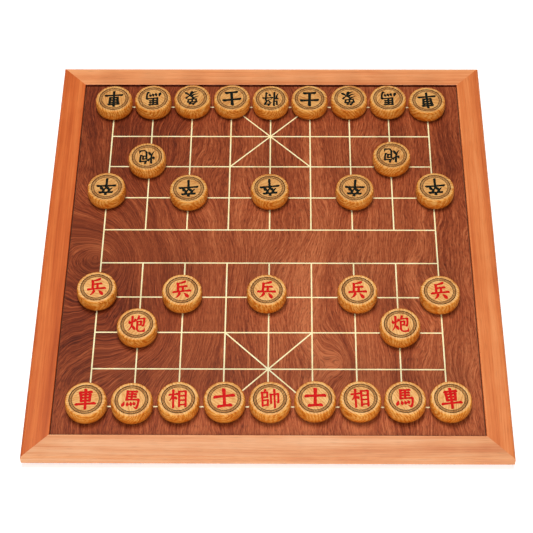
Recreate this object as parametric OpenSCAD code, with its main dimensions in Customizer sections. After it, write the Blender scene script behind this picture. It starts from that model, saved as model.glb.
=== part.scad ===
// Framed board for a nine file, ten rank strategy game, with its 32 round men set out for play.
// Origin: middle of the board, on the surface that it stands on. +X right, +Y to the far player, +Z up.

/* [Lines] */
// Distance between neighbouring lines
pitch = 50; // [49:1:56]
// Width of an inlaid line
line_w = 1.6; // [1.2:0.1:2.6]
// Depth of the groove that a line is glued into
line_depth = 0.8; // [0.4:0.1:0.9]
// Panel that shows between an end file and the rail beside it
side_margin = 40; // [34:0.5:50]
// Panel that shows between an end rank and the rail beside it
end_margin = 37; // [34:0.5:50]

/* [Frame] */
// Width of a rail, seen from above
rail_w = 29.8; // [26:0.2:40]
// Height of a rail
rail_h = 15; // [14:0.5:20]
// Radius of a rail's outer top edge
top_edge_r = 3; // [1:0.5:4]
// Radius of a rail's outer bottom edge
bottom_edge_r = 4.5; // [1:0.5:6]
// Radius of a rail's inner top edge
inner_edge_r = 1; // [0.4:0.2:1.8]
// How far the playing surface lies below the top of the rails
recess = 2; // [1.6:0.1:3]

/* [Corner splines] */
// Width of the spline that crosses each mitre, measured along the mitre
spline_w = 16; // [10:1:18]
// Length of a spline, across the mitre
spline_l = 16; // [10:1:18]
// Thickness of a spline
spline_t = 3; // [2:0.5:4]
// Wood left between a spline's slot and the groove for the panel
spline_wall = 1.3; // [1:0.1:3]
// Glue gap round a spline, on each side
glue_gap = 0.05; // [0.03:0.01:0.15]

/* [Panel] */
// Thickness of the plywood core
core_t = 8; // [7:0.5:8.5]
// Thickness of the dark face veneer, which holds the lines
face_t = 1.2; // [1:0.1:2]
// Thickness of the backing veneer
backing_t = 1; // [0.6:0.1:1.6]
// How far the core's tongue reaches into the rails
tongue_len = 6; // [4:0.5:7]
// Thickness of the tongue
tongue_t = 3; // [2:0.5:4]
// Room above the tongue in its groove
tongue_gap = 0.2; // [0.1:0.05:0.5]
// Room beyond the tongue's end, in which the panel can swell
swell_gap = 0.5; // [0.3:0.1:1.5]
// Dark gap that shows between the panel's edge and the rails
shadow_gap = 1; // [0.5:0.1:2]

/* [Foot pads] */
// Diameter of a felt pad
pad_d = 18; // [12:1:20]
// Thickness of a felt pad
pad_t = 1.5; // [1:0.5:3]
// Flat wood left between a pad and the rounded bottom edge
pad_margin = 1.5; // [0.5:0.5:3]

/* [Men] */
// Greatest diameter of a man, half way up its side
man_d = 47.2; // [43:0.2:48]
// Thickness of a man
man_t = 16.6; // [12:0.2:20]
// Radius of the curve of a man's side
man_side_r = 26; // [26:1:60]
// Radius of a man's top rim
man_rim_r = 1.4; // [0.4:0.1:2]
// Radius of a man's bottom edge
man_foot_r = 2.2; // [0.6:0.1:2.4]
// Radius of the inner circle cut into a man's face
ring_inner_r = 15.3; // [12:0.1:16]
// Radius of the outer circle cut into a man's face
ring_outer_r = 18.4; // [17:0.1:19.4]
// Width of each cut circle
ring_w = 0.5; // [0.3:0.1:0.9]
// Depth of each cut circle
ring_depth = 0.4; // [0.2:0.1:0.8]

/* [Hidden] */
FILES = 9;
RANKS = 10;
// The ranks on both banks of the river, where the inner files stop
BANKS = [RANKS / 2 - 1, RANKS / 2];
WHOLE_RANKS = concat([0], BANKS, [RANKS - 1]);
CUT_RANKS = [for (r = [1 : RANKS - 2]) if (len(search(r, BANKS)) == 0) r];
// Each palace: the file and rank of its middle
PALACES = [[(FILES - 1) / 2, 1], [(FILES - 1) / 2, RANKS - 2]];

// How each man stands: name, file from the left, rank from the far side, and how far
// it was set down off its crossing, in X and in Y
MEN = [
    ["black_chariot_left", 0, 0, [0, -1]],
    ["black_horse_left", 1, 0, [0, 0]],
    ["black_elephant_left", 2, 0, [0, 1]],
    ["black_advisor_left", 3, 0, [0.5, 1]],
    ["black_general", 4, 0, [0, -0.5]],
    ["black_advisor_right", 5, 0, [-0.5, 0]],
    ["black_elephant_right", 6, 0, [0, 0.5]],
    ["black_horse_right", 7, 0, [-0.5, 0.5]],
    ["black_chariot_right", 8, 0, [-1, -3]],
    ["black_cannon_left", 1, 2, [-2.5, 2]],
    ["black_cannon_right", 7, 2, [0.5, 5]],
    ["black_soldier_1", 0, 3, [0.5, 3.5]],
    ["black_soldier_2", 2, 3, [1, 1]],
    ["black_soldier_3", 4, 3, [0, 2.5]],
    ["black_soldier_4", 6, 3, [3.5, 2]],
    ["black_soldier_5", 8, 3, [1.5, 4]],
    ["red_soldier_1", 0, 6, [-0.5, 2]],
    ["red_soldier_2", 2, 6, [-1, -1.5]],
    ["red_soldier_3", 4, 6, [-2.5, -1.5]],
    ["red_soldier_4", 6, 6, [3, -1.5]],
    ["red_soldier_5", 8, 6, [-1.5, -2.5]],
    ["red_cannon_left", 1, 7, [-0.5, 0]],
    ["red_cannon_right", 7, 7, [0.5, 1]],
    ["red_chariot_left", 0, 9, [-1.5, -1]],
    ["red_horse_left", 1, 9, [-0.5, -1.5]],
    ["red_minister_left", 2, 9, [1, 0]],
    ["red_advisor_left", 3, 9, [2, 0.5]],
    ["red_general", 4, 9, [2.5, 0.5]],
    ["red_advisor_right", 5, 9, [2.5, 1.5]],
    ["red_minister_right", 6, 9, [2.5, 1.5]],
    ["red_horse_right", 7, 9, [2, 1.5]],
    ["red_chariot_right", 8, 9, [2.5, 1.5]]
];

// Name of each foot pad, and the side of the board that it is on in X and in Y
PADS = [
    ["foot_pad_front_left", -1, -1],
    ["foot_pad_front_right", 1, -1],
    ["foot_pad_back_left", -1, 1],
    ["foot_pad_back_right", 1, 1]
];

// Name of each corner spline, and the side of the board that it is on in X and in Y
SPLINES = [
    ["corner_spline_front_left", -1, -1],
    ["corner_spline_front_right", 1, -1],
    ["corner_spline_back_left", -1, 1],
    ["corner_spline_back_right", 1, 1]
];

$fn = 96;
// Length by which a cutting tool runs past the wood
OVERCUT = 1;

// The board in plan
grid_w = (FILES - 1) * pitch;
grid_l = (RANKS - 1) * pitch;
opening_w = grid_w + 2 * side_margin;
opening_l = grid_l + 2 * end_margin;
board_w = opening_w + 2 * rail_w;
board_l = opening_l + 2 * rail_w;

// Levels, from the floor up
rail_z = pad_t;
play_z = rail_z + rail_h - recess;
face_z = play_z - face_t;
core_z = face_z - core_t;
backing_z = core_z - backing_t;
tongue_z = core_z + (core_t - tongue_t) / 2;
groove_depth = tongue_len + swell_gap;

// The splines end where a wall of wood is left in front of the panel's groove
spline_far = (rail_w - groove_depth - spline_wall) * sqrt(2);
spline_z = rail_z + (rail_h - spline_t) / 2;
pad_inset = bottom_edge_r + pad_margin + pad_d / 2;

function crossing(file, rank) = [
    (file - (FILES - 1) / 2) * pitch,
    ((RANKS - 1) / 2 - rank) * pitch
];

// What lies outside a round edge: its corner is at the origin, and the wood towards +X and +Y
module edge_cutter(r) {
    difference() {
        translate([-OVERCUT, -OVERCUT]) square(r + OVERCUT);
        translate([r, r]) circle(r);
    }
}

// Section of a rail: inner face at X = 0, outer face at X = rail_w, underside at Y = 0
module rail_section() {
    difference() {
        square([rail_w, rail_h]);
        translate([rail_w, 0]) mirror([1, 0]) edge_cutter(bottom_edge_r);
        translate([rail_w, rail_h]) rotate(180) edge_cutter(top_edge_r);
        translate([0, rail_h]) mirror([0, 1]) edge_cutter(inner_edge_r);
        translate([-OVERCUT, tongue_z - rail_z])
            square([groove_depth + OVERCUT, tongue_t + tongue_gap]);
    }
}

// Plan of a rail with its two mitres, as long as the outer side of the board
module rail_plan(length) {
    inner = length / 2 - rail_w;
    polygon([[-inner, 0], [inner, 0], [length / 2, rail_w], [-length / 2, rail_w]]);
}

// One rail along X with its inner face on the X axis, before its spline slots are cut
module rail_blank(length) {
    translate([0, 0, rail_z]) intersection() {
        rotate([90, 0, 90]) linear_extrude(length, center = true) rail_section();
        linear_extrude(rail_h) rail_plan(length);
    }
}

// The block that a spline, or with a gap its slot, takes up at the corner on the sides sx, sy
module spline_block(sx, sy, gap) {
    translate([sx * board_w / 2, sy * board_l / 2, spline_z - gap])
        rotate(atan2(-sy, -sx))
            translate([spline_far - spline_w - gap, -spline_l / 2 - gap, 0])
                cube([spline_w + 2 * gap, spline_l + 2 * gap, spline_t + 2 * gap]);
}

module spline_slots() {
    for (s = SPLINES) spline_block(s[1], s[2], glue_gap);
}

module cross_rail(side) {
    difference() {
        translate([0, side * opening_l / 2, 0]) rotate(side > 0 ? 0 : 180) rail_blank(board_w);
        spline_slots();
    }
}

module side_rail(side) {
    difference() {
        translate([side * opening_w / 2, 0, 0]) rotate(side > 0 ? -90 : 90) rail_blank(board_l);
        spline_slots();
    }
}

module front_rail() { color([0.94, 0.67, 0.50]) cross_rail(-1); }
module back_rail() { color([0.86, 0.60, 0.42]) cross_rail(1); }
module left_rail() { color([0.80, 0.43, 0.24]) side_rail(-1); }
module right_rail() { color([0.91, 0.55, 0.35]) side_rail(1); }

module corner_spline(sx, sy) {
    color([0.93, 0.85, 0.70]) spline_block(sx, sy, 0);
}

// A flat slab centred on the board, reaching past the opening by reach on every side
module slab(z, t, reach) {
    w = opening_w + 2 * reach;
    l = opening_l + 2 * reach;
    translate([-w / 2, -l / 2, z]) cube([w, l, t]);
}

// Plywood core with a tongue all round, which rests on the lower wall of the rails' groove
module panel_core() {
    color([0.82, 0.66, 0.45]) union() {
        slab(core_z, core_t, -shadow_gap);
        slab(tongue_z, tongue_t, tongue_len);
    }
}

module backing_veneer() {
    color([0.50, 0.25, 0.15]) slab(backing_z, backing_t, -shadow_gap);
}

// A straight strip along the line between two points, running past both by reach
module strip(from, to, reach) {
    run = to - from;
    translate([from[0], from[1], play_z - line_depth])
        rotate(atan2(run[1], run[0]))
            translate([-reach, -line_w / 2, 0])
                cube([norm(run) + 2 * reach, line_w, line_depth]);
}

// The two end files run the whole board and take the four outer corners
module end_file_strips() {
    for (f = [0, FILES - 1]) strip(crossing(f, 0), crossing(f, RANKS - 1), line_w / 2);
}

// The inner files are let in between the end ranks and the banks of the river
module inner_file_strips() {
    for (f = [1 : FILES - 2]) {
        strip(crossing(f, 0), crossing(f, BANKS[0]), -line_w / 2);
        strip(crossing(f, BANKS[1]), crossing(f, RANKS - 1), -line_w / 2);
    }
}

// Every rank is let in between the two end files
module rank_strip(rank) {
    strip(crossing(0, rank), crossing(FILES - 1, rank), -line_w / 2);
}

module palace_strips() {
    for (p = PALACES) {
        for (dx = [-1, 1], dy = [-1, 1]) {
            strip(crossing(p[0], p[1]), crossing(p[0] + dx, p[1] + dy), 0);
        }
    }
}

module face_veneer() {
    color([0.58, 0.28, 0.18]) difference() {
        slab(face_z, face_t, -shadow_gap);
        end_file_strips();
        inner_file_strips();
        for (r = [0 : RANKS - 1]) rank_strip(r);
        palace_strips();
    }
}

module file_inlays() {
    color([0.96, 0.90, 0.70]) {
        end_file_strips();
        inner_file_strips();
    }
}

// End ranks and banks are whole, and the inner files cut the other ranks
module rank_inlays() {
    color([0.96, 0.90, 0.70]) {
        for (r = WHOLE_RANKS) rank_strip(r);
        difference() {
            for (r = CUT_RANKS) rank_strip(r);
            inner_file_strips();
        }
    }
}

module palace_inlays() {
    color([0.96, 0.90, 0.70]) difference() {
        palace_strips();
        inner_file_strips();
        for (r = [0 : RANKS - 1]) rank_strip(r);
    }
}

module foot_pad(sx, sy) {
    color([0.22, 0.20, 0.18])
        translate([sx * (board_w / 2 - pad_inset), sy * (board_l / 2 - pad_inset), 0])
            cylinder(h = pad_t, d = pad_d);
}

// Half section of a man with its axis on Y: a round side between a round rim and a round foot
module man_section() {
    side_x = man_d / 2 - man_side_r;
    mid = man_t / 2;
    rim_x = side_x + sqrt(pow(man_side_r - man_rim_r, 2) - pow(mid - man_rim_r, 2));
    foot_x = side_x + sqrt(pow(man_side_r - man_foot_r, 2) - pow(mid - man_foot_r, 2));
    side_top = mid + man_side_r * (mid - man_rim_r) / (man_side_r - man_rim_r);
    side_bottom = mid - man_side_r * (mid - man_foot_r) / (man_side_r - man_foot_r);
    intersection() {
        square([man_d, man_t]);
        union() {
            intersection() {
                translate([side_x, mid]) circle(man_side_r);
                translate([0, side_bottom]) square([man_d, side_top - side_bottom]);
            }
            square([foot_x, side_bottom]);
            translate([foot_x, man_foot_r]) circle(man_foot_r);
            translate([0, side_top]) square([rim_x, man_t - side_top]);
            translate([rim_x, man_t - man_rim_r]) circle(man_rim_r);
        }
    }
}

module cut_circle(r) {
    translate([r - ring_w / 2, man_t - ring_depth]) square([ring_w, ring_depth + OVERCUT]);
}

module man(m) {
    place = crossing(m[1], m[2]) + m[3];
    color([0.87, 0.64, 0.38]) translate([place[0], place[1], play_z]) rotate_extrude() {
        difference() {
            man_section();
            cut_circle(ring_inner_r);
            cut_circle(ring_outer_r);
        }
    }
}

front_rail();
back_rail();
left_rail();
right_rail();
panel_core();
face_veneer();
backing_veneer();
file_inlays();
rank_inlays();
palace_inlays();
for (s = SPLINES) corner_spline(s[1], s[2]);
for (p = PADS) foot_pad(p[1], p[2]);
for (m = MEN) man(m);
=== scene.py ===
import bmesh
import bpy
import math
import random
from mathutils import Matrix, Vector, geometry


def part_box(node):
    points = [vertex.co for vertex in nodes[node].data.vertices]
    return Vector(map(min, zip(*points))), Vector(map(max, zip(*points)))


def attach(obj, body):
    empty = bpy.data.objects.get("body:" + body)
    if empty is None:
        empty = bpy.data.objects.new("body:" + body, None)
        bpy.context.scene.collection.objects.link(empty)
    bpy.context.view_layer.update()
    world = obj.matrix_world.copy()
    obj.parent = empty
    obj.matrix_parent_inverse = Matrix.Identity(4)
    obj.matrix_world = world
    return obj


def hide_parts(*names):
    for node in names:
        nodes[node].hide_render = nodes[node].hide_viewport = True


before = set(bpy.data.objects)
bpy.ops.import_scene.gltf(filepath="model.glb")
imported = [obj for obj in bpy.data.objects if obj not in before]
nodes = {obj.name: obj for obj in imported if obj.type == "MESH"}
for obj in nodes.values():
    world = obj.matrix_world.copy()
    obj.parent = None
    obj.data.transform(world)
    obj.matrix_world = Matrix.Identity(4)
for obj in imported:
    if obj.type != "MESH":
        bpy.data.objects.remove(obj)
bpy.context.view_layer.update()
mm = 0.001
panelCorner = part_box("face_veneer")[1]  # back right corner, at the top
playZ = panelCorner.z
manFoot, manTop = [corner.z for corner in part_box("red_general")]
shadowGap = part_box("back_rail")[0].y - panelCorner.y
print("frame loaded:", len(nodes), "nodes")


# Camera

cameraView = {
    "lens": 106.87,                      # mm
    "sensor": 36,                        # mm
    "place": (0.0190, -1.1534, 1.5037),  # from the middle of the playing surface
    "elevation": 53.231,                 # degrees below the horizon that it looks
    "turn": 1.131,
    "roll": -0.781,
    "nearest": 0.05,
}


def addCamera(view):
    data = bpy.data.cameras.new("camera")
    data.lens = view["lens"]
    data.sensor_width = view["sensor"]
    data.clip_start = view["nearest"]
    camera = bpy.data.objects.new("camera", data)
    bpy.context.scene.collection.objects.link(camera)
    turn = Matrix.Rotation(math.radians(view["turn"]), 4, "Z")
    tilt = Matrix.Rotation(math.radians(90 - view["elevation"]), 4, "X")
    roll = Matrix.Rotation(math.radians(view["roll"]), 4, "Z")
    place = Vector(view["place"]) + Vector((0, 0, playZ))
    camera.matrix_world = Matrix.Translation(place) @ turn @ tilt @ roll
    bpy.context.scene.camera = camera


addCamera(cameraView)
bpy.context.scene.view_settings.view_transform = "Standard"
print("camera placed")


# Node helpers

def paint(red, green, blue):
    # A colour as a screen shows it, 0 to 255, turned into the linear values that shaders take
    levels = [c / 255 for c in (red, green, blue)]
    return (*[c / 12.92 if c <= 0.04045 else ((c + 0.055) / 1.055) ** 2.4 for c in levels], 1.0)


def grey(level):
    return (level, level, level, 1)


def startMaterial(name):
    material = bpy.data.materials.new(name)
    material.use_nodes = True
    return material, material.node_tree, material.node_tree.nodes["Principled BSDF"]


def setInput(tree, socket, value):
    if isinstance(value, bpy.types.NodeSocket):
        tree.links.new(value, socket)
    else:
        socket.default_value = value


def put(tree, kind, inputs=None, **settings):
    node = tree.nodes.new(kind)
    for key, value in settings.items():
        setattr(node, key, value)
    for key, value in (inputs or {}).items():
        setInput(tree, node.inputs[key], value)
    return node


def calc(tree, operation, a, b=0.0):
    return put(tree, "ShaderNodeMath", {0: a, 1: b}, operation=operation).outputs[0]


def split(tree, vector):
    return put(tree, "ShaderNodeSeparateXYZ", {"Vector": vector}).outputs


def objectPlace(tree):
    return put(tree, "ShaderNodeTexCoord").outputs["Object"]


def stretch(tree, vector, place=(0, 0, 0), turn=(0, 0, 0), scale=(1, 1, 1)):
    inputs = {"Vector": vector, "Location": place, "Rotation": turn, "Scale": scale}
    return put(tree, "ShaderNodeMapping", inputs).outputs[0]


def grainLayer(tree, vector, layer):
    # Noise stretched to a layer's scale, per metre, with its own detail and roughness
    inputs = {
        "Vector": stretch(tree, vector, layer.get("start", (0, 0, 0)), scale=layer["scale"]),
        "Scale": 1.0,
        "Detail": layer["detail"],
        "Roughness": layer.get("roughness", 0.5),
    }
    return put(tree, "ShaderNodeTexNoise", inputs).outputs["Fac"]


def sway(tree, vector, layer):
    # How far a layer moves the grain to either side, in metres
    offset = calc(tree, "SUBTRACT", grainLayer(tree, vector, layer), 0.5)
    return calc(tree, "MULTIPLY", offset, layer["reach"])


def addUp(tree, parts):
    # Sum of the values, each times its share
    total = None
    for value, share in parts:
        part = calc(tree, "MULTIPLY", value, share)
        total = part if total is None else calc(tree, "ADD", total, part)
    return total


def ramp(tree, value, stops):
    node = put(tree, "ShaderNodeValToRGB", {"Fac": value})
    elements = node.color_ramp.elements
    while len(elements) < len(stops):
        elements.new(0.5)
    for element, (place, colour) in zip(elements, stops):
        element.position = place
        element.color = colour
    return node.outputs["Color"]


def multiplyColours(tree, first, second):
    node = put(tree, "ShaderNodeMix", data_type="RGBA", blend_type="MULTIPLY")
    setInput(tree, node.inputs[0], 1.0)
    setInput(tree, node.inputs[6], first)
    setInput(tree, node.inputs[7], second)
    return node.outputs[2]


def darkenPores(tree, colour, pores, layer):
    shade = ramp(tree, pores, list(zip(layer["stops"], (grey(1.0), grey(layer["shade"])))))
    return multiplyColours(tree, colour, shade)


def addGloss(tree, shader, fibres, roughness):
    # Roughness that follows the fibres, between two values
    fibreStops = (0.3, 0.7)
    gloss = ramp(tree, fibres, list(zip(fibreStops, [grey(level) for level in roughness])))
    tree.links.new(gloss, shader.inputs["Roughness"])


def addBump(tree, shader, height, strength, distance):
    inputs = {"Height": height, "Strength": strength, "Distance": distance}
    tree.links.new(put(tree, "ShaderNodeBump", inputs).outputs[0], shader.inputs["Normal"])


def setCoat(shader, weight, roughness):
    shader.inputs["Coat Weight"].default_value = weight
    shader.inputs["Coat Roughness"].default_value = roughness


# Wood of the rails: fine straight grain along each rail, under a satin lacquer

railTones = {
    # dark, middle and light tone, the turn that brings a rail's grain along X, and where its pattern starts
    # The tones differ from rail to rail partly as each board's own tone and partly as painted light and sheen:
    # the left rail darker, the right one paler
    "front_rail": {"tones": (paint(208, 124, 78), paint(232, 163, 113), paint(245, 193, 150)),
                   "turn": 0, "start": (0.3, 0.1, 0)},
    "back_rail": {"tones": (paint(213, 122, 71), paint(240, 159, 103), paint(252, 182, 128)),
                  "turn": 0, "start": (1.7, 0.5, 0)},
    "left_rail": {"tones": (paint(184, 83, 33), paint(212, 107, 49), paint(231, 131, 67)),
                  "turn": 90, "start": (2.9, 0.9, 0)},
    "right_rail": {"tones": (paint(198, 98, 46), paint(227, 132, 72), paint(241, 156, 96)),
                   "turn": 90, "start": (4.1, 1.3, 0)},
}

railGrain = {
    "sway": {"scale": (3, 14, 14), "detail": 2},
    "swayReach": 0.012,    # metres
    "bands": {"scale": (2.2, 95, 60), "detail": 3, "roughness": 0.55, "share": 0.55},
    "fibres": {"scale": (14, 620, 620), "detail": 3, "roughness": 0.6, "share": 0.30},
    "mottle": {"scale": (22, 30, 30), "detail": 2, "share": 0.15},
    "pores": {"scale": (55, 2300, 2300), "detail": 1, "stops": (0.60, 0.70), "shade": 0.80},
    "toneStops": (0.34, 0.50, 0.66),
    "roughness": (0.34, 0.44),
    "specular": 0.10,
    "coat": (0.02, 0.25),
    "poreDepth": 0.5,      # of the pores beside the fibres, in the bump
    "bump": (0.12, 0.3 * mm),
}

paintedInnerEdge = {
    "stain": paint(96, 40, 24),   # painted shade on the front and back rails' inner walls and just over their edge, where the recess and the gap beside the panel lie dark
    # painted shade on the side rails' inner walls, paler than on the front and back
    "sideStain": paint(196, 156, 140),
    # painted highlight along each rail's rounded inner edge
    "arris": paint(255, 250, 246),
    "rest": paint(248, 240, 234),
    "reach": 0.4 * mm,            # how far the painted shade runs onto the top
    "span": 4.0 * mm,             # over which the stops below lie
    "stops": (0.0, 0.10, 0.50, 0.62),
}


def paintedWallShadeAndHighlight(tree, rail, wall):
    # By what the wood's colour is multiplied, from how far a spot is from the rail's inner face: painted shade
    # on the inner wall, then a painted highlight along the rounded edge
    axis = "X" if rail["turn"] else "Y"
    away = calc(tree, "ABSOLUTE", split(tree, objectPlace(tree))[axis])
    innerFace = (panelCorner.x if rail["turn"] else panelCorner.y) + shadowGap
    depth = calc(tree, "SUBTRACT", away, innerFace)
    tones = (wall["sideStain" if rail["turn"] else "stain"], wall["arris"], wall["arris"], wall["rest"])
    place = calc(tree, "DIVIDE", calc(tree, "SUBTRACT", depth, wall["reach"]), wall["span"])
    return ramp(tree, place, list(zip(wall["stops"], tones)))


def railWood(name, rail, grain):
    material, tree, shader = startMaterial(name + "_wood")
    along = stretch(tree, objectPlace(tree), rail["start"], (0, 0, math.radians(rail["turn"])))
    aside = calc(tree, "MULTIPLY", grainLayer(tree, along, grain["sway"]), grain["swayReach"])
    swayed = put(tree, "ShaderNodeCombineXYZ", {"Y": aside}).outputs[0]
    flow = put(tree, "ShaderNodeVectorMath", {0: along, 1: swayed}, operation="ADD").outputs[0]
    bands = grainLayer(tree, flow, grain["bands"])
    fibres = grainLayer(tree, flow, grain["fibres"])
    pores = grainLayer(tree, flow, grain["pores"])
    mottle = grainLayer(tree, along, grain["mottle"])
    tone = addUp(tree, [(bands, grain["bands"]["share"]), (fibres, grain["fibres"]["share"]),
                        (mottle, grain["mottle"]["share"])])
    colour = ramp(tree, tone, list(zip(grain["toneStops"], rail["tones"])))
    colour = darkenPores(tree, colour, pores, grain["pores"])
    # painted shade on the inner wall and a painted highlight on the edge beside it
    colour = multiplyColours(tree, colour, paintedWallShadeAndHighlight(tree, rail, paintedInnerEdge))
    tree.links.new(colour, shader.inputs["Base Color"])
    addGloss(tree, shader, fibres, grain["roughness"])
    shader.inputs["Specular IOR Level"].default_value = grain["specular"]
    setCoat(shader, *grain["coat"])
    relief = calc(tree, "SUBTRACT", fibres, calc(tree, "MULTIPLY", pores, grain["poreDepth"]))
    addBump(tree, shader, relief, *grain["bump"])
    return material


# Dark veneer of the playing surface: grain mostly front to back, thrown into arcs on the left

panelTones = (paint(82, 31, 15), paint(122, 51, 25), paint(158, 77, 42), paint(196, 111, 68))

panelGrain = {
    "wander": {"scale": (9, 5, 0), "detail": 2, "roughness": 0.55, "reach": 0.075},
    "ripple": {"scale": (40, 26, 0), "detail": 2, "reach": 0.005},
    "broad": {"scale": (30, 1.6, 1), "detail": 4, "roughness": 0.60, "share": 0.28},
    "streaks": {"start": (3, 0, 0), "scale": (460, 9, 1), "detail": 3, "roughness": 0.62, "share": 0.30},
    "fibres": {"start": (7, 0, 0), "scale": (950, 70, 1), "detail": 3, "roughness": 0.7, "share": 0.42},
    "pores": {"start": (11, 0, 0), "scale": (1300, 170, 1), "detail": 1, "stops": (0.56, 0.68), "shade": 0.58},
    "across": 0.11,      # how much paler the panel gets to the right, per metre: painted light, brighter toward the right, with some of the veneer's own drift in tone
    "toneStops": (0.36, 0.45, 0.53, 0.63),
    "roughness": (0.36, 0.50),
    "specular": 0.06,
    "bump": (0.2, 0.4 * mm),
    "swirls": [          # middle in plan, its two radii, and how far the grain is pushed there, in metres
        {"place": (-0.207, -0.015), "reach": (0.075, 0.085), "push": -0.038},
        {"place": (-0.190, -0.030), "reach": (0.200, 0.230), "push": -0.120},
        {"place": (-0.150, -0.130), "reach": (0.130, 0.110), "push": -0.070},
        {"place": (-0.120, 0.105), "reach": (0.070, 0.060), "push": 0.030},
        {"place": (0.080, -0.165), "reach": (0.050, 0.085), "push": -0.026},
    ],
    "stretches": [       # paler and darker stretches, given in the same way, with the push in tone. Most are painted light and shade: darker at the back and on the left, paler in the middle and at the front. The small one at the left is a pale blotch of the veneer
        {"place": (0.03, -0.04), "reach": (0.30, 0.34), "push": 0.060},
        {"place": (0.22, 0.16), "reach": (0.15, 0.22), "push": -0.060},
        {"place": (0.24, -0.16), "reach": (0.10, 0.14), "push": 0.030},
        {"place": (-0.21, -0.06), "reach": (0.14, 0.18), "push": -0.050},
        {"place": (-0.17, 0.19), "reach": (0.26, 0.20), "push": -0.056},
        {"place": (-0.205, -0.005), "reach": (0.034, 0.028), "push": 0.070},
        {"place": (-0.04, -0.28), "reach": (0.42, 0.16), "push": 0.074},
    ],
}


def hump(tree, place, settings):
    # A smooth rise round a spot in plan
    (x, y), (reachX, reachY) = settings["place"], settings["reach"]
    local = stretch(tree, place, (-x / reachX, -y / reachY, 0), scale=(1 / reachX, 1 / reachY, 0))
    rise = put(tree, "ShaderNodeTexGradient", {"Vector": local}, gradient_type="QUADRATIC_SPHERE")
    return calc(tree, "MULTIPLY", rise.outputs["Fac"], settings["push"])


def panelWood(tones, grain):
    material, tree, shader = startMaterial("panel_veneer_wood")
    place = objectPlace(tree)
    across = split(tree, place)["X"]
    ring = calc(tree, "ADD", across, sway(tree, place, grain["wander"]))
    ring = calc(tree, "ADD", ring, sway(tree, place, grain["ripple"]))
    for swirl in grain["swirls"]:
        ring = calc(tree, "ADD", ring, hump(tree, place, swirl))
    flow = put(tree, "ShaderNodeCombineXYZ", {"X": ring, "Y": split(tree, place)["Y"]}).outputs[0]
    broad = grainLayer(tree, flow, grain["broad"])
    streaks = grainLayer(tree, flow, grain["streaks"])
    fibres = grainLayer(tree, flow, grain["fibres"])
    pores = grainLayer(tree, flow, grain["pores"])
    tone = addUp(tree, [(broad, grain["broad"]["share"]), (streaks, grain["streaks"]["share"]),
                        (fibres, grain["fibres"]["share"]), (across, grain["across"])])
    # painted light and shade over the panel, with one pale blotch of the veneer
    for area in grain["stretches"]:
        tone = calc(tree, "ADD", tone, hump(tree, place, area))
    colour = ramp(tree, tone, list(zip(grain["toneStops"], tones)))
    tree.links.new(darkenPores(tree, colour, pores, grain["pores"]), shader.inputs["Base Color"])
    addGloss(tree, shader, fibres, grain["roughness"])
    shader.inputs["Specular IOR Level"].default_value = grain["specular"]
    addBump(tree, shader, calc(tree, "SUBTRACT", fibres, pores), *grain["bump"])
    return material


# Pale wood of the lines, and the plain woods, plywood and felt that hardly show

plainWoods = {
    "line_inlay_wood": {"dark": paint(254, 231, 164), "light": paint(255, 249, 198),
                        "grain": (90, 90, 200), "roughness": 0.42},
    "backing_wood": {"dark": paint(92, 46, 28), "light": paint(132, 72, 46),
                     "grain": (420, 18, 1), "roughness": 0.6},
    "spline_wood": {"dark": paint(206, 176, 128), "light": paint(236, 214, 170),
                    "grain": (60, 700, 700), "roughness": 0.7},
}
plainGrain = {
    "cloud": {"scale": (60, 60, 60), "detail": 3, "share": 0.4},
    "grain": {"detail": 3, "roughness": 0.6, "share": 0.6},
    "toneStops": (0.35, 0.62),
    "specular": 0.3,
    "bump": (0.1, 0.2 * mm),
}


def plainWood(name, wood, plain):
    material, tree, shader = startMaterial(name)
    place = objectPlace(tree)
    cloud = grainLayer(tree, place, plain["cloud"])
    grain = grainLayer(tree, place, {**plain["grain"], "scale": wood["grain"]})
    tone = addUp(tree, [(cloud, plain["cloud"]["share"]), (grain, plain["grain"]["share"])])
    colour = ramp(tree, tone, list(zip(plain["toneStops"], (wood["dark"], wood["light"]))))
    tree.links.new(colour, shader.inputs["Base Color"])
    shader.inputs["Roughness"].default_value = wood["roughness"]
    shader.inputs["Specular IOR Level"].default_value = plain["specular"]
    addBump(tree, shader, grain, *plain["bump"])
    return material


padFelt = {
    "tones": (paint(26, 24, 23), paint(74, 70, 66)),
    "toneStops": (0.35, 0.65),
    "tufts": {"scale": (900, 900, 900), "detail": 4, "roughness": 0.7, "share": 0.7},
    "patches": {"scale": (160, 160, 160), "detail": 2, "share": 0.3},
    "roughness": 0.95,
    "sheen": 0.35,
    "bump": (0.8, 0.6 * mm),
}


def feltMaterial(felt):
    material, tree, shader = startMaterial("pad_felt")
    place = objectPlace(tree)
    tufts = grainLayer(tree, place, felt["tufts"])
    patches = grainLayer(tree, place, felt["patches"])
    tone = addUp(tree, [(tufts, felt["tufts"]["share"]), (patches, felt["patches"]["share"])])
    tree.links.new(ramp(tree, tone, list(zip(felt["toneStops"], felt["tones"]))), shader.inputs["Base Color"])
    shader.inputs["Roughness"].default_value = felt["roughness"]
    shader.inputs["Sheen Weight"].default_value = felt["sheen"]
    addBump(tree, shader, tufts, *felt["bump"])
    return material


plywood = {
    "plyThickness": 1.6 * mm,
    "tones": (paint(96, 56, 32), paint(140, 90, 54)),
    "toneStops": (0.42, 0.58),
    "grain": {"scale": (40, 500, 900), "detail": 3},
    "shadeStops": ((0.3, grey(0.78)), (0.7, grey(1.0))),
    "roughness": 0.75,
    "bump": (0.2, 0.2 * mm),
}


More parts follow.
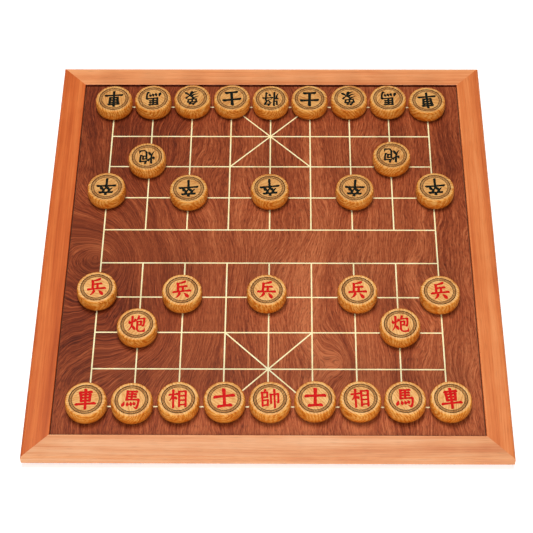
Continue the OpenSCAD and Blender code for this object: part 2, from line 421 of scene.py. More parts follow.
def plyMaterial(ply):
    # Veneers of the core, lying flat: bands up its height, streaked along the sheet
    material, tree, shader = startMaterial("core_plywood")
    place = objectPlace(tree)
    height = calc(tree, "MULTIPLY", split(tree, place)["Z"], 1 / ply["plyThickness"])
    layers = calc(tree, "PINGPONG", height, 1.0)
    layers = ramp(tree, layers, list(zip(ply["toneStops"], ply["tones"])))
    grain = grainLayer(tree, place, ply["grain"])
    shade = ramp(tree, grain, ply["shadeStops"])
    tree.links.new(multiplyColours(tree, layers, shade), shader.inputs["Base Color"])
    shader.inputs["Roughness"].default_value = ply["roughness"]
    addBump(tree, shader, grain, *ply["bump"])
    return material


def dress(names, material):
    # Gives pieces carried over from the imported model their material
    for name in names:
        nodes[name].data.materials.clear()
        nodes[name].data.materials.append(material)


corners = ["front_left", "front_right", "back_left", "back_right"]
for railName, rail in railTones.items():
    dress([railName], railWood(railName, rail, railGrain))
dress(["face_veneer"], panelWood(panelTones, panelGrain))
for names, wood in ((["file_inlays", "rank_inlays", "palace_inlays"], "line_inlay_wood"),
                    (["backing_veneer"], "backing_wood"),
                    (["corner_spline_" + c for c in corners], "spline_wood")):
    dress(names, plainWood(wood, plainWoods[wood], plainGrain))
dress(["panel_core"], plyMaterial(plywood))
dress(["foot_pad_" + c for c in corners], feltMaterial(padFelt))
print("board dressed")


# Wood and inks of the men

manTones = {
    # dark, middle and light tone
    "side": (paint(190, 95, 20), paint(225, 140, 48), paint(245, 184, 98)),
    "redFace": (paint(208, 139, 72), paint(234, 171, 100), paint(246, 194, 126)),
    "blackFace": (paint(188, 119, 58), paint(216, 154, 85), paint(231, 176, 106)),
    "band": (paint(192, 123, 64), paint(217, 152, 85), paint(236, 177, 108)),
    # painted shade: what the side's colour is multiplied by, from how far up the man a spot is, darker toward
    # the foot
    "upTheSide": [
        (0.05, paint(84, 44, 26)),      # the foot, darkest: a painted contact shadow
        (0.13, paint(200, 166, 130)),   # just over the rounded bottom edge
        (0.32, paint(240, 218, 176)),
        (0.75, paint(255, 255, 255)),
    ],
}

manFinish = {
    # roughness and coat
    "side": (0.36, 0.06),
    "face": (0.45, 0.03),
    "band": (0.5, 0.05),
    "coatRoughness": 0.2,
    "specular": 0.07,
}

manGrain = {
    "bend": {"scale": (30, 90, 90), "detail": 2, "reach": 0.010},
    "ringSpacing": 3.1 * mm,
    "ringShare": 0.10,
    "fibres": {"scale": (90, 1500, 1500), "detail": 3, "roughness": 0.65, "share": 0.22},
    "cloud": {"scale": (45, 130, 130), "detail": 2, "share": 0.30},
    "flecks": {"scale": (320, 980, 980), "detail": 2, "roughness": 0.7, "share": 0.38},
    "pores": {"scale": (330, 3600, 3600), "detail": 1, "stops": (0.60, 0.72), "shade": 0.80},
    "toneStops": (0.39, 0.50, 0.61),
    "bump": (0.15, 0.2 * mm),
}

inks = {
    "ring_ink": {"tones": (paint(58, 36, 18), paint(92, 62, 34)), "roughness": 0.6},
    "fret_ink": {"tones": (paint(58, 36, 18), paint(92, 62, 34)), "roughness": 0.6},
    "red_lacquer": {"tones": (paint(188, 12, 10), paint(222, 30, 24)), "roughness": 0.42},
    "black_lacquer": {"tones": (paint(6, 10, 6), paint(18, 24, 16)), "roughness": 0.42},
}
inkCloud = {
    "cloud": {"scale": (420, 420, 420), "detail": 3, "roughness": 0.6},
    "toneStops": (0.32, 0.66),
    "specular": 0.04,
    "bump": (0.15, 0.2 * mm),
}


def manWood(name, tones, finish, grain, upTheSide=None):
    # Growth rings, fibres and flecks laid out by each man's own "grain" attribute
    material, tree, shader = startMaterial(name)
    place = put(tree, "ShaderNodeAttribute", attribute_name="grain").outputs["Vector"]
    bend = sway(tree, place, grain["bend"])
    parts = split(tree, place)
    fromHeart = put(tree, "ShaderNodeCombineXYZ", {"Y": parts["Y"], "Z": parts["Z"]}).outputs[0]
    radius = put(tree, "ShaderNodeVectorMath", {0: fromHeart}, operation="LENGTH").outputs["Value"]
    phase = calc(tree, "MULTIPLY", calc(tree, "ADD", radius, bend), 2 * math.pi / grain["ringSpacing"])
    wave = calc(tree, "SINE", phase)
    rings = put(tree, "ShaderNodeMath", {0: wave, 1: 0.5, 2: 0.5}, operation="MULTIPLY_ADD").outputs[0]
    fibres = grainLayer(tree, place, grain["fibres"])
    cloud = grainLayer(tree, place, grain["cloud"])
    flecks = grainLayer(tree, place, grain["flecks"])
    pores = grainLayer(tree, place, grain["pores"])
    tone = addUp(tree, [(rings, grain["ringShare"]), (fibres, grain["fibres"]["share"]),
                        (cloud, grain["cloud"]["share"]), (flecks, grain["flecks"]["share"])])
    colour = ramp(tree, tone, list(zip(grain["toneStops"], tones)))
    colour = darkenPores(tree, colour, pores, grain["pores"])
    # painted shade, darker down the side toward the foot
    if upTheSide:
        height = split(tree, objectPlace(tree))["Z"]
        height = calc(tree, "DIVIDE", calc(tree, "SUBTRACT", height, manFoot), manTop - manFoot)
        colour = multiplyColours(tree, colour, ramp(tree, height, upTheSide))
    tree.links.new(colour, shader.inputs["Base Color"])
    roughness, coat = manFinish[finish]
    shader.inputs["Roughness"].default_value = roughness
    shader.inputs["Specular IOR Level"].default_value = manFinish["specular"]
    setCoat(shader, coat, manFinish["coatRoughness"])
    addBump(tree, shader, calc(tree, "SUBTRACT", fibres, pores), *grain["bump"])
    return material


def inkMaterial(name, ink, clouding):
    material, tree, shader = startMaterial(name)
    cloud = grainLayer(tree, objectPlace(tree), clouding["cloud"])
    colour = ramp(tree, cloud, list(zip(clouding["toneStops"], ink["tones"])))
    tree.links.new(colour, shader.inputs["Base Color"])
    shader.inputs["Roughness"].default_value = ink["roughness"]
    shader.inputs["Specular IOR Level"].default_value = clouding["specular"]
    addBump(tree, shader, cloud, *clouding["bump"])
    return material


# Marks of the men, in plain brush strokes. Each is drawn in a square from -1 to 1 and made of
# strokes, given as a kind and the points that the stroke passes through

brush = {
    # how wide each kind of stroke is along its run, as shares of the mark's weight
    "across": [1.10, 0.86, 0.80, 0.86, 1.16],
    "down": [1.16, 0.96, 0.90, 0.94, 1.00],
    "sweepLeft": [1.15, 1.05, 0.88, 0.60, 0.22],
    "sweepRight": [0.40, 0.66, 1.05, 1.38, 0.30],
    "dab": [0.45, 0.85, 1.25, 1.40, 0.95],
    "flick": [1.05, 0.85, 0.60, 0.40, 0.20],
}

marks = {
    "chariot": {"weight": 3.4, "strokes": [
        ("across", [(-0.62, 0.70), (0.62, 0.76)]),
        ("down", [(-0.50, 0.46), (-0.44, -0.20)]),
        ("across", [(-0.50, 0.44), (0.50, 0.50)]),
        ("down", [(0.50, 0.52), (0.44, -0.16)]),
        ("across", [(-0.46, 0.14), (0.46, 0.18)]),
        ("across", [(-0.44, -0.18), (0.44, -0.14)]),
        ("across", [(-1.00, -0.52), (1.00, -0.44)]),
        ("down", [(0.00, 1.00), (0.00, -1.00)]),
    ]},
    "horse": {"weight": 3.1, "strokes": [
        ("down", [(-0.52, 0.92), (-0.55, -0.02)]),
        ("across", [(-0.50, 0.88), (0.50, 0.93)]),
        ("across", [(-0.50, 0.60), (0.42, 0.64)]),
        ("across", [(-0.52, 0.32), (0.42, 0.36)]),
        ("down", [(0.00, 0.90), (-0.02, 0.04)]),
        ("across", [(-0.56, -0.02), (0.78, 0.05)]),
        ("down", [(0.78, 0.07), (0.77, -0.45), (0.62, -0.92)]),
        ("flick", [(0.62, -0.92), (0.28, -0.74)]),
        ("dab", [(-0.78, -0.28), (-0.94, -0.74)]),
        ("dab", [(-0.44, -0.30), (-0.36, -0.66)]),
        ("dab", [(-0.08, -0.28), (0.04, -0.60)]),
        ("dab", [(0.26, -0.24), (0.40, -0.52)]),
    ]},
    "minister": {"weight": 3.0, "strokes": [
        ("across", [(-1.00, 0.46), (-0.10, 0.54)]),
        ("down", [(-0.55, 0.98), (-0.55, -0.98)]),
        ("sweepLeft", [(-0.55, 0.46), (-0.72, 0.08), (-1.00, -0.22)]),
        ("dab", [(-0.46, 0.26), (-0.18, 0.00)]),
        ("down", [(0.10, 0.80), (0.12, -0.88)]),
        ("across", [(0.10, 0.78), (0.86, 0.83)]),
        ("down", [(0.86, 0.85), (0.84, -0.88)]),
        ("across", [(0.12, 0.30), (0.84, 0.33)]),
        ("across", [(0.12, -0.18), (0.84, -0.15)]),
        ("across", [(0.12, -0.68), (0.84, -0.65)]),
    ]},
    "advisor": {"weight": 4.1, "strokes": [
        ("across", [(-1.00, 0.20), (1.00, 0.30)]),
        ("down", [(0.00, 0.95), (0.00, -0.74)]),
        ("across", [(-0.66, -0.78), (0.66, -0.70)]),
    ]},
    "redGeneral": {"weight": 2.9, "strokes": [
        ("sweepLeft", [(-0.48, 1.00), (-0.56, 0.84), (-0.76, 0.68)]),
        ("down", [(-0.86, 0.72), (-0.84, -0.80)]),
        ("across", [(-0.86, 0.66), (-0.28, 0.70)]),
        ("down", [(-0.28, 0.72), (-0.30, 0.16)]),
        ("across", [(-0.84, 0.16), (-0.30, 0.19)]),
        ("across", [(-0.84, -0.18), (-0.24, -0.14)]),
        ("down", [(-0.24, -0.12), (-0.27, -0.74)]),
        ("across", [(-0.84, -0.72), (-0.27, -0.69)]),
        ("down", [(0.10, 0.46), (0.12, -0.52)]),
        ("across", [(0.10, 0.44), (0.95, 0.50)]),
        ("down", [(0.95, 0.52), (0.93, -0.48)]),
        ("flick", [(0.93, -0.48), (0.68, -0.34)]),
        ("down", [(0.52, 1.00), (0.52, -1.00)]),
    ]},
    "cannon": {"weight": 3.1, "strokes": [
        ("dab", [(-0.96, 0.42), (-0.84, 0.08)]),
        ("sweepLeft", [(-0.20, 0.58), (-0.28, 0.38), (-0.46, 0.20)]),
        ("sweepLeft", [(-0.58, 0.95), (-0.58, 0.10), (-0.72, -0.45), (-1.00, -0.85)]),
        ("dab", [(-0.60, -0.08), (-0.24, -0.64)]),
        ("sweepLeft", [(0.24, 1.00), (0.10, 0.70), (-0.14, 0.42)]),
        ("across", [(0.08, 0.66), (0.88, 0.72)]),
        ("down", [(0.88, 0.74), (0.88, 0.20), (0.80, -0.22)]),
        ("flick", [(0.80, -0.22), (0.56, -0.12)]),
        ("across", [(0.06, 0.32), (0.52, 0.35)]),
        ("down", [(0.52, 0.37), (0.50, -0.10)]),
        ("across", [(0.06, -0.10), (0.50, -0.07)]),
        ("down", [(0.06, 0.34), (0.06, -0.60)]),
        ("across", [(0.06, -0.62), (0.30, -0.88), (0.92, -0.84)]),
        ("flick", [(0.92, -0.84), (1.00, -0.44)]),
    ]},
    "redSoldier": {"weight": 3.5, "strokes": [
        ("sweepLeft", [(0.44, 1.00), (0.02, 0.88), (-0.48, 0.80)]),
        ("down", [(-0.42, 0.82), (-0.46, -0.16)]),
        ("across", [(-0.44, 0.38), (0.58, 0.45)]),
        ("down", [(0.14, 0.42), (0.12, -0.12)]),
        ("across", [(-1.00, -0.22), (1.00, -0.13)]),
        ("sweepLeft", [(-0.28, -0.40), (-0.44, -0.68), (-0.76, -0.94)]),
        ("dab", [(0.28, -0.40), (0.70, -0.90)]),
    ]},
    "blackGeneral": {"weight": 2.95, "strokes": [
        ("down", [(-0.84, 0.84), (-0.82, 0.34)]),
        ("across", [(-0.84, 0.34), (-0.46, 0.38)]),
        ("across", [(-0.94, -0.04), (-0.46, 0.00)]),
        ("sweepLeft", [(-0.74, -0.02), (-0.78, -0.46), (-0.98, -0.86)]),
        ("down", [(-0.46, 0.98), (-0.46, -0.98)]),
        ("sweepLeft", [(0.24, 1.00), (0.08, 0.74), (-0.18, 0.52)]),
        ("across", [(0.12, 0.80), (0.76, 0.85)]),
        ("sweepLeft", [(0.74, 0.88), (0.46, 0.36), (-0.18, 0.02)]),
        ("dab", [(0.04, 0.58), (0.18, 0.42)]),
        ("across", [(-0.22, -0.16), (1.00, -0.06)]),
        ("down", [(0.62, 0.26), (0.62, -0.88)]),
        ("flick", [(0.62, -0.88), (0.34, -0.72)]),
        ("dab", [(0.00, -0.38), (0.22, -0.62)]),
    ]},
    "elephant": {"weight": 2.9, "strokes": [
        ("sweepLeft", [(-0.10, 1.00), (-0.28, 0.80), (-0.60, 0.62)]),
        ("across", [(-0.28, 0.84), (0.36, 0.89)]),
        ("sweepLeft", [(0.34, 0.90), (0.24, 0.74), (0.06, 0.60)]),
        ("down", [(-0.56, 0.60), (-0.48, 0.20)]),
        ("across", [(-0.56, 0.58), (0.58, 0.63)]),
        ("down", [(0.58, 0.65), (0.50, 0.24)]),
        ("down", [(0.02, 0.60), (0.00, 0.22)]),
        ("across", [(-0.50, 0.20), (0.52, 0.24)]),
        ("sweepLeft", [(0.02, 0.20), (-0.30, -0.06), (-0.82, -0.26)]),
        ("down", [(-0.20, 0.00), (0.16, -0.30), (0.20, -0.66), (0.04, -0.94)]),
        ("flick", [(0.04, -0.94), (-0.20, -0.80)]),
        ("sweepLeft", [(0.12, -0.22), (-0.24, -0.48), (-0.78, -0.60)]),
        ("sweepLeft", [(0.20, -0.50), (-0.16, -0.80), (-0.66, -0.96)]),
        ("sweepLeft", [(0.82, 0.04), (0.58, -0.18), (0.26, -0.34)]),
        ("sweepRight", [(0.24, -0.20), (0.54, -0.56), (1.00, -0.86)]),
    ]},
    "blackSoldier": {"weight": 3.3, "strokes": [
        ("dab", [(-0.08, 1.00), (0.08, 0.80)]),
        ("across", [(-0.70, 0.64), (0.70, 0.70)]),
        ("sweepLeft", [(-0.28, 0.60), (-0.42, 0.32), (-0.72, 0.08)]),
        ("dab", [(-0.34, 0.36), (-0.12, 0.10)]),
        ("sweepLeft", [(0.34, 0.60), (0.22, 0.32), (-0.02, 0.10)]),
        ("dab", [(0.30, 0.38), (0.64, 0.08)]),
        ("across", [(-1.00, -0.18), (1.00, -0.08)]),
        ("down", [(0.00, 0.06), (0.00, -1.00)]),
    ]},
}

markSize = {
    "halfWidth": 10.8,   # mm
    "halfHeight": 12.8,
    "reach": 14.2,       # mm, no part of a mark is farther than this from the middle of the face
    "depth": 0.45,       # mm, how deep a stroke is cut
    "samples": 9,        # points along a stroke
    "capPoints": 3,      # points on each round end
    "capBulge": 0.75,    # how far an end stands out, as a share of half its width
    "slant": 0.30,       # how far a stroke's ends lean, as a share of half its width
    "tolerance": 1e-4,   # mm, between points that count as one
}


def smoothRun(points, samples):
    # Evenly spread points on a smooth curve through a few points
    if len(points) == 2:
        (ax, ay), (bx, by) = points
        steps = [i / (samples - 1) for i in range(samples)]
        return [(ax + (bx - ax) * t, ay + (by - ay) * t) for t in steps]
    ends = [points[0]] + list(points) + [points[-1]]
    spans = len(points) - 1
    run = []
    for i in range(samples):
        place = i / (samples - 1) * spans
        k = min(int(place), spans - 1)
        t = place - k
        run.append(tuple(
            0.5 * (2 * b + (c - a) * t + (2 * a - 5 * b + 4 * c - d) * t * t
                   + (3 * b - a - 3 * c + d) * t ** 3)
            for a, b, c, d in zip(*ends[k:k + 4])))
    return run


def strokeOutline(kind, points, weight, size):
    # Outline of a brush stroke in mm, anticlockwise: up one side of its run and back down the other
    scaled = [Vector((x * size["halfWidth"], y * size["halfHeight"])) for x, y in points]
    run = [Vector(p) for p in smoothRun([tuple(p) for p in scaled], size["samples"])]
    shares = brush[kind]
    left, right = [], []
    for i, p in enumerate(run):
        ahead = (run[min(i + 1, len(run) - 1)] - run[max(i - 1, 0)]).normalized()
        side = Vector((-ahead.y, ahead.x))
        spot = i / (len(run) - 1) * (len(shares) - 1)
        k = min(int(spot), len(shares) - 2)
        half = weight / 2 * (shares[k] + (shares[k + 1] - shares[k]) * (spot - k))
        lean = ahead * (size["slant"] * half * (1 if i == 0 else -1 if i == len(run) - 1 else 0))
        left.append(p + side * half + lean)
        right.append(p - side * half - lean)

    def cap(a, b, outward):
        middle, half = (a + b) / 2, (b - a) / 2
        bulge = outward * half.length * size["capBulge"]
        angles = [math.pi * j / (size["capPoints"] + 1) for j in range(1, size["capPoints"] + 1)]
        return [middle - half * math.cos(angle) + bulge * math.sin(angle) for angle in angles]

    startOut = (run[0] - run[1]).normalized()
    endOut = (run[-1] - run[-2]).normalized()
    return right + cap(right[-1], left[-1], endOut) + left[::-1] + cap(left[0], right[0], startOut)


# Shape of a man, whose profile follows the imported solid

manShape = {
    # mm
    "sideRadius": 26.0,     # curve of the side
    "rimRadius": 1.4,
    "footRadius": 2.2,
    "ringRadii": (15.3, 18.4),
    "ringWidth": 0.8,
    "ringDepth": 0.4,
    "ringFloor": 0.6,       # width of a cut circle's floor, as a share of its width at the top
    "bandSink": 0.10,       # how far the patterned band lies below the face
    "undersideRing": 0.5,   # radius of the underside's inner ring of points, as a share of the foot's
    "segments": 96,
    "roundSteps": 5,        # on the rim and on the foot
    "sideSteps": 14,
    "crease": 32,           # degrees, over which an edge is kept sharp
    "merge": 1e-7,          # m
}
slotSide, slotFace, slotCut, slotBand, slotMark = range(5)


def arcPoints(centre, radius, fromAngle, toAngle, steps):
    angles = [math.radians(fromAngle + (toAngle - fromAngle) * i / steps) for i in range(steps + 1)]
    return [(centre[0] + radius * math.cos(a), centre[1] + radius * math.sin(a)) for a in angles]


def manProfile(shape, radius, height):
    # Points (r, z) in mm from the middle of the underside out and up to the inner ring, and each span's slot
    middle = height / 2
    sideX = radius - shape["sideRadius"]
    rim, foot = shape["rimRadius"], shape["footRadius"]
    rimAngle = math.degrees(math.asin((middle - rim) / (shape["sideRadius"] - rim)))
    footAngle = math.degrees(math.asin((middle - foot) / (shape["sideRadius"] - foot)))
    rimX = sideX + (shape["sideRadius"] - rim) * math.cos(math.radians(rimAngle))
    footX = sideX + (shape["sideRadius"] - foot) * math.cos(math.radians(footAngle))
    inner, outer = shape["ringRadii"]
    half = shape["ringWidth"] / 2
    cut, band = height - shape["ringDepth"], height - shape["bandSink"]
    floor = half * shape["ringFloor"]
    side = [(footX * shape["undersideRing"], 0)]
    side += arcPoints((footX, foot), foot, -90, -footAngle, shape["roundSteps"])
    side += arcPoints((sideX, middle), shape["sideRadius"], -footAngle, rimAngle, shape["sideSteps"])[1:]
    side += arcPoints((rimX, height - rim), rim, rimAngle, 90, shape["roundSteps"])[1:]
    face = [((outer + half, height), slotFace), ((outer + floor, cut), slotCut),
            ((outer - floor, cut), slotCut), ((outer - half, band), slotCut),
            ((inner + half, band), slotBand), ((inner + floor, cut), slotCut),
            ((inner - floor, cut), slotCut), ((inner - half, height), slotCut)]
    return [(p, slotSide) for p in side] + face


def circlePoints(radius, segments):
    angles = [2 * math.pi * i / segments for i in range(segments)]
    return [(radius * math.cos(angle), radius * math.sin(angle)) for angle in angles]


def carveMark(bm, mark, radius, height, size, segments):
    # The middle of the face, with the mark's strokes let down into it
    ring = [Vector(p) for p in circlePoints(radius, segments)]
    strokes = [strokeOutline(kind, points, mark["weight"], size) for kind, points in mark["strokes"]]
    farthest = max(p.length for stroke in strokes for p in stroke)
    shrink = min(1, size["reach"] / farthest)
    outlines = [ring] + [[p * shrink for p in stroke] for stroke in strokes]
    points, loops = [], []
    for outline in outlines:
        loops.append(list(range(len(points), len(points) + len(outline))))
        points += outline
    insideOnly = 1
    spots, _, faces, _, _, origins = geometry.delaunay_2d_cdt(points, [], loops, insideOnly, size["tolerance"])
    high, low = {}, {}
    floor = height - size["depth"]

    def corner(table, index, z):
        if index not in table:
            table[index] = bm.verts.new((spots[index].x * mm, spots[index].y * mm, z * mm))
        return table[index]

    def anticlockwise(face):
        a, b, c = (spots[i] for i in face)
        return list(face) if (b - a).cross(c - a) > 0 else list(face)[::-1]

    cutFaces, topFaces = [], []
    for face, origin in zip(faces, origins):
        # loop 0 is the ring, and the others are strokes
        (cutFaces if any(loop > 0 for loop in origin) else topFaces).append(anticlockwise(face))
    for face in topFaces:
        bm.faces.new([corner(high, i, height) for i in face]).material_index = slotFace
    cutEdges = set()
    for face in cutFaces:
        bm.faces.new([corner(low, i, floor) for i in face]).material_index = slotMark
        cutEdges.update(zip(face, face[1:] + face[:1]))
    for a, b in cutEdges:
        if (b, a) not in cutEdges:
            wall = [corner(low, i, floor) for i in (b, a)] + [corner(high, i, height) for i in (a, b)]
            bm.faces.new(wall).material_index = slotMark


def manMesh(name, mark, shape, size, radius, height):
    bm = bmesh.new()
    segments = shape["segments"]
    outline = manProfile(shape, radius, height)
    rings = [[bm.verts.new((x, y, z * mm)) for x, y in circlePoints(r * mm, segments)] for (r, z), _ in outline]
    middle = bm.verts.new((0, 0, 0))
    for i in range(segments):
        j = (i + 1) % segments
        bm.faces.new((middle, rings[0][j], rings[0][i])).material_index = slotSide
        for k in range(1, len(rings)):
            face = bm.faces.new((rings[k - 1][i], rings[k - 1][j], rings[k][j], rings[k][i]))
            face.material_index = outline[k][1]
    carveMark(bm, mark, shape["ringRadii"][0] - shape["ringWidth"] / 2, height, size, segments)
    bmesh.ops.remove_doubles(bm, verts=bm.verts, dist=shape["merge"])
    for face in bm.faces:
        face.smooth = True
    for edge in bm.edges:
        edge.smooth = edge.is_manifold and edge.calc_face_angle() < math.radians(shape["crease"])
    mesh = bpy.data.meshes.new(name)
    bm.to_mesh(mesh)
    bm.free()
    return mesh


# Key-pattern band, made once as a small hooked bar and set round each face by Geometry Nodes

fret = {
    "path": [(-0.5, -0.5), (-0.5, 0.5), (0.5, 0.5), (0.5, -0.32), (-0.14, -0.32), (-0.14, 0.14),
             (0.20, 0.14)],
    "width": 2.35,       # mm, along the band
    "height": 1.9,       # mm, across the band
    "line": 0.30,        # mm, width of the bar
    "thickness": 0.07,   # mm, how far it stands on the band
    "count": 36,
    "radius": 16.85,     # mm, middle of the band
    "straight": 0.5,     # cosine of the turn below which a corner is mitred
}


def fretBar(settings):
    points = [Vector((v * settings["height"], u * settings["width"])) for u, v in settings["path"]]
    half = settings["line"] / 2
    left, right = [], []
    for i, p in enumerate(points):
        before = (p - points[i - 1]).normalized() if i else (points[1] - p).normalized()
        after = (points[i + 1] - p).normalized() if i + 1 < len(points) else before
        side = Vector((-before.y, before.x))
        turn = Vector((-after.y, after.x))
        mitre = side if side.dot(turn) > settings["straight"] else side + turn
        left.append(p + mitre * half)
        right.append(p - mitre * half)
    outline = right + left[::-1]
    bm = bmesh.new()
    base = [bm.verts.new((p.x * mm, p.y * mm, 0)) for p in outline]
    face = bm.faces.new(base)
    top = bmesh.ops.extrude_face_region(bm, geom=[face])["geom"]
    raised = [v for v in top if isinstance(v, bmesh.types.BMVert)]
    bmesh.ops.translate(bm, verts=raised, vec=(0, 0, settings["thickness"] * mm))
    bmesh.ops.triangulate(bm, faces=[f for f in bm.faces if len(f.verts) > 4])
    bmesh.ops.recalc_face_normals(bm, faces=bm.faces)
    mesh = bpy.data.meshes.new("fretBar")
    bm.to_mesh(mesh)
    bm.free()
    return bpy.data.objects.new("fretBar", mesh)


def fretTree():
    tree = bpy.data.node_groups.new("fretRing", "GeometryNodeTree")
    sockets = {"Geometry": "Geometry", "Bar": "Object", "Count": "Int", "Radius": "Float",
               "Centre": "Vector", "Turn": "Float", "Ink": "Material"}
    for label, kind in sockets.items():
        tree.interface.new_socket(label, in_out="INPUT", socket_type="NodeSocket" + kind)
    tree.interface.new_socket("Geometry", in_out="OUTPUT", socket_type="NodeSocketGeometry")
    given = put(tree, "NodeGroupInput").outputs
    circle = put(tree, "GeometryNodeMeshCircle", {"Vertices": given["Count"], "Radius": given["Radius"]})
    bar = put(tree, "GeometryNodeObjectInfo", {"Object": given["Bar"], "As Instance": True})
    spot = put(tree, "GeometryNodeInputPosition").outputs[0]
    outward = put(tree, "FunctionNodeAlignRotationToVector", {"Vector": spot}, axis="X").outputs[0]
    inputs = {"Points": circle.outputs[0], "Instance": bar.outputs["Geometry"], "Rotation": outward}
    placed = put(tree, "GeometryNodeInstanceOnPoints", inputs)
    turn = put(tree, "ShaderNodeCombineXYZ", {"Z": given["Turn"]})
    inputs = {"Geometry": placed.outputs[0], "Translation": given["Centre"], "Rotation": turn.outputs[0]}
    moved = put(tree, "GeometryNodeTransform", inputs)
    real = put(tree, "GeometryNodeRealizeInstances", {"Geometry": moved.outputs[0]})
    inked = put(tree, "GeometryNodeSetMaterial", {"Geometry": real.outputs[0], "Material": given["Ink"]})
    put(tree, "NodeGroupOutput", {"Geometry": inked.outputs[0]})
    return tree


def fretRing(name, tree, bar, centre, turn, ink, settings):
    holder = bpy.data.objects.new(name + "_holder", bpy.data.meshes.new(name + "_holder"))
    bpy.context.scene.collection.objects.link(holder)
    modifier = holder.modifiers.new("fret", "NODES")
    modifier.node_group = tree
    values = {"Bar": bar, "Count": settings["count"], "Radius": settings["radius"] * mm, "Centre": centre,
              "Turn": turn, "Ink": ink}
    for item in tree.interface.items_tree:
        if item.in_out == "INPUT" and item.name in values:
            modifier[item.identifier] = values[item.name]
    shown = holder.evaluated_get(bpy.context.evaluated_depsgraph_get())
    mesh = bpy.data.meshes.new_from_object(shown)
    bpy.data.objects.remove(holder)
    mesh.name = name
    piece = bpy.data.objects.new(name, mesh)
    bpy.context.scene.collection.objects.link(piece)
    return piece


# The thirty-two men

manSet = {
    "seed": 41,
    "looseTurn": 5.0,        # degrees that a man may be turned off square
    "heartDistance": 0.030,  # metres from the middle of a man to the heart of its log
    "heartDepth": 0.03,      # and how far below the man the heart may lie
}


def markName(node):
    # The two sides have marks of their own for the general and the soldier
    side, kind = node.split("_")[:2]
    return kind if kind in marks else side + kind.capitalize()


def buildMen():
    dice = random.Random(manSet["seed"])
    side = manWood("man_side_wood", manTones["side"], "side", manGrain, manTones["upTheSide"])
    redFace = manWood("man_face_wood", manTones["redFace"], "face", manGrain)
    blackFace = manWood("black_man_face_wood", manTones["blackFace"], "face", manGrain)
    band = manWood("band_stain", manTones["band"], "band", manGrain)
    cut, fretInk, red, black = [inkMaterial(name, inks[name], inkCloud)
                                for name in ("ring_ink", "fret_ink", "red_lacquer", "black_lacquer")]
    bar, tree = fretBar(fret), fretTree()
    shared = {}
    names = sorted(n for n in nodes if n.startswith(("red_", "black_")))
    for node in names:
        low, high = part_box(node)
        centre = Vector(((low.x + high.x) / 2, (low.y + high.y) / 2, low.z))
        radius, height = (high.x - low.x) / 2 / mm, (high.z - low.z) / mm
        key = markName(node)
        if key not in shared:
            shared[key] = manMesh(key, marks[key], manShape, markSize, radius, height)
        mesh = shared[key].copy()
        spin = dice.uniform(0, 2 * math.pi)
        alongLog, downLog = dice.uniform(-1, 1), dice.uniform(-manSet["heartDepth"], 0.0)
        heart = Vector((alongLog, manSet["heartDistance"], downLog))
        grainTurn = Matrix.Rotation(spin, 3, "Z")
        grain = mesh.attributes.new("grain", "FLOAT_VECTOR", "POINT")
        grain.data.foreach_set("vector", [c for v in mesh.vertices for c in (grainTurn @ v.co + heart)])
        isRed = node.startswith("red")
        for material in (side, redFace if isRed else blackFace, cut, band, red if isRed else black):
            mesh.materials.append(material)
        facing = 0 if isRed else math.pi
        turn = facing + math.radians(dice.uniform(-1, 1) * manSet["looseTurn"])
        mesh.transform(Matrix.Translation(centre) @ Matrix.Rotation(turn, 4, "Z"))
        man = bpy.data.objects.new(node + "_man", mesh)
        bpy.context.scene.collection.objects.link(man)
        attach(man, node)
        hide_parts(node)
        bandTop = centre + Vector((0, 0, (height - manShape["bandSink"]) * mm))
        ring = fretRing(node + "_fret", tree, bar, bandTop, turn, fretInk, fret)
        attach(ring, node)
    bpy.data.objects.remove(bar)
    print("men built:", len(names), "with", len(shared), "marks")


buildMen()


# Studio: a white floor and soft light from overhead and in front

studio = {
    "horizonLight": 0.04,  # of the sky, as it lights the board
    "zenithLight": 0.26,
    "overhead": {"place": (-0.20, 0.95, 3.9), "size": (1.4, 1.4), "power": 114},
    "front": {"place": (0.10, -3.0, 1.15), "size": (1.4, 0.8), "power": 54},
    "floorSize": 12.0,
    "floorTone": 0.90,
    "floorRoughness": 0.9,
    "floorLift": 0.50,     # glow of the floor as it is seen, round the board
    "farLift": 0.85,       # and far from it, where the lamps hardly reach
    "liftReach": (0.35, 1.3),  # metres from the middle of the board, between which it changes
}


def addLamp(name, lamp):
    data = bpy.data.lights.new(name, "AREA")
    data.shape = "RECTANGLE"
    data.size, data.size_y = lamp["size"]
    data.energy = lamp["power"]
    light = bpy.data.objects.new(name, data)
    bpy.context.scene.collection.objects.link(light)
    place = Vector(lamp["place"])   # it points at the middle of the board
    light.matrix_world = Matrix.Translation(place) @ place.to_track_quat("Z", "Y").to_matrix().to_4x4()


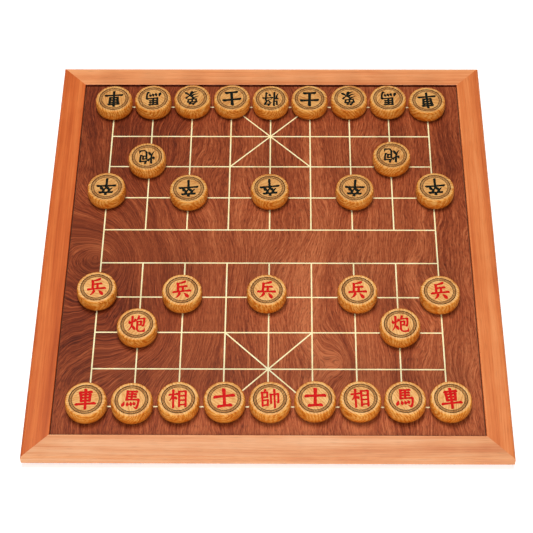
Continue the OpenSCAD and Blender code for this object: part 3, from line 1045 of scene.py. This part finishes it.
def seenDirectly(tree):
    path = put(tree, "ShaderNodeLightPath").outputs
    seen = calc(tree, "MAXIMUM", path["Is Camera Ray"], path["Is Glossy Ray"])
    return calc(tree, "MAXIMUM", seen, path["Is Transmission Ray"])


def addSky(settings):
    world = bpy.data.worlds.new("studio")
    world.use_nodes = True
    bpy.context.scene.world = world
    tree = world.node_tree
    direction = put(tree, "ShaderNodeTexCoord").outputs["Generated"]
    height = calc(tree, "MAXIMUM", split(tree, direction)["Z"], 0.0)
    sky = calc(tree, "MULTIPLY", height, settings["zenithLight"] - settings["horizonLight"])
    sky = calc(tree, "ADD", sky, settings["horizonLight"])
    strength = calc(tree, "MAXIMUM", sky, seenDirectly(tree))  # white wherever it is looked at or mirrored
    tree.nodes["Background"].inputs["Color"].default_value = (1, 1, 1, 1)
    tree.links.new(strength, tree.nodes["Background"].inputs["Strength"])


def addFloor(settings):
    size = settings["floorSize"] / 2
    corners = [(-size, -size, 0), (size, -size, 0), (size, size, 0), (-size, size, 0)]
    mesh = bpy.data.meshes.new("floor")
    mesh.from_pydata(corners, [], [(0, 1, 2, 3)])
    floor = bpy.data.objects.new("floor", mesh)
    bpy.context.scene.collection.objects.link(floor)
    material, tree, shader = startMaterial("studio_floor")
    shader.inputs["Base Color"].default_value = grey(settings["floorTone"])
    shader.inputs["Roughness"].default_value = settings["floorRoughness"]
    shader.inputs["Specular IOR Level"].default_value = 0.0
    shader.inputs["Emission Color"].default_value = (1, 1, 1, 1)
    away = put(tree, "ShaderNodeVectorMath", {0: objectPlace(tree)}, operation="LENGTH").outputs["Value"]
    near, far = settings["liftReach"]
    inputs = {"Value": away, "From Min": near, "From Max": far, "To Min": settings["floorLift"],
              "To Max": settings["farLift"]}
    lift = put(tree, "ShaderNodeMapRange", inputs, clamp=True).outputs[0]
    lift = calc(tree, "MULTIPLY", seenDirectly(tree), lift)
    tree.links.new(lift, shader.inputs["Emission Strength"])
    mesh.materials.append(material)


addSky(studio)
addLamp("overheadLamp", studio["overhead"])
addLamp("frontLamp", studio["front"])
addFloor(studio)
print("studio lit")
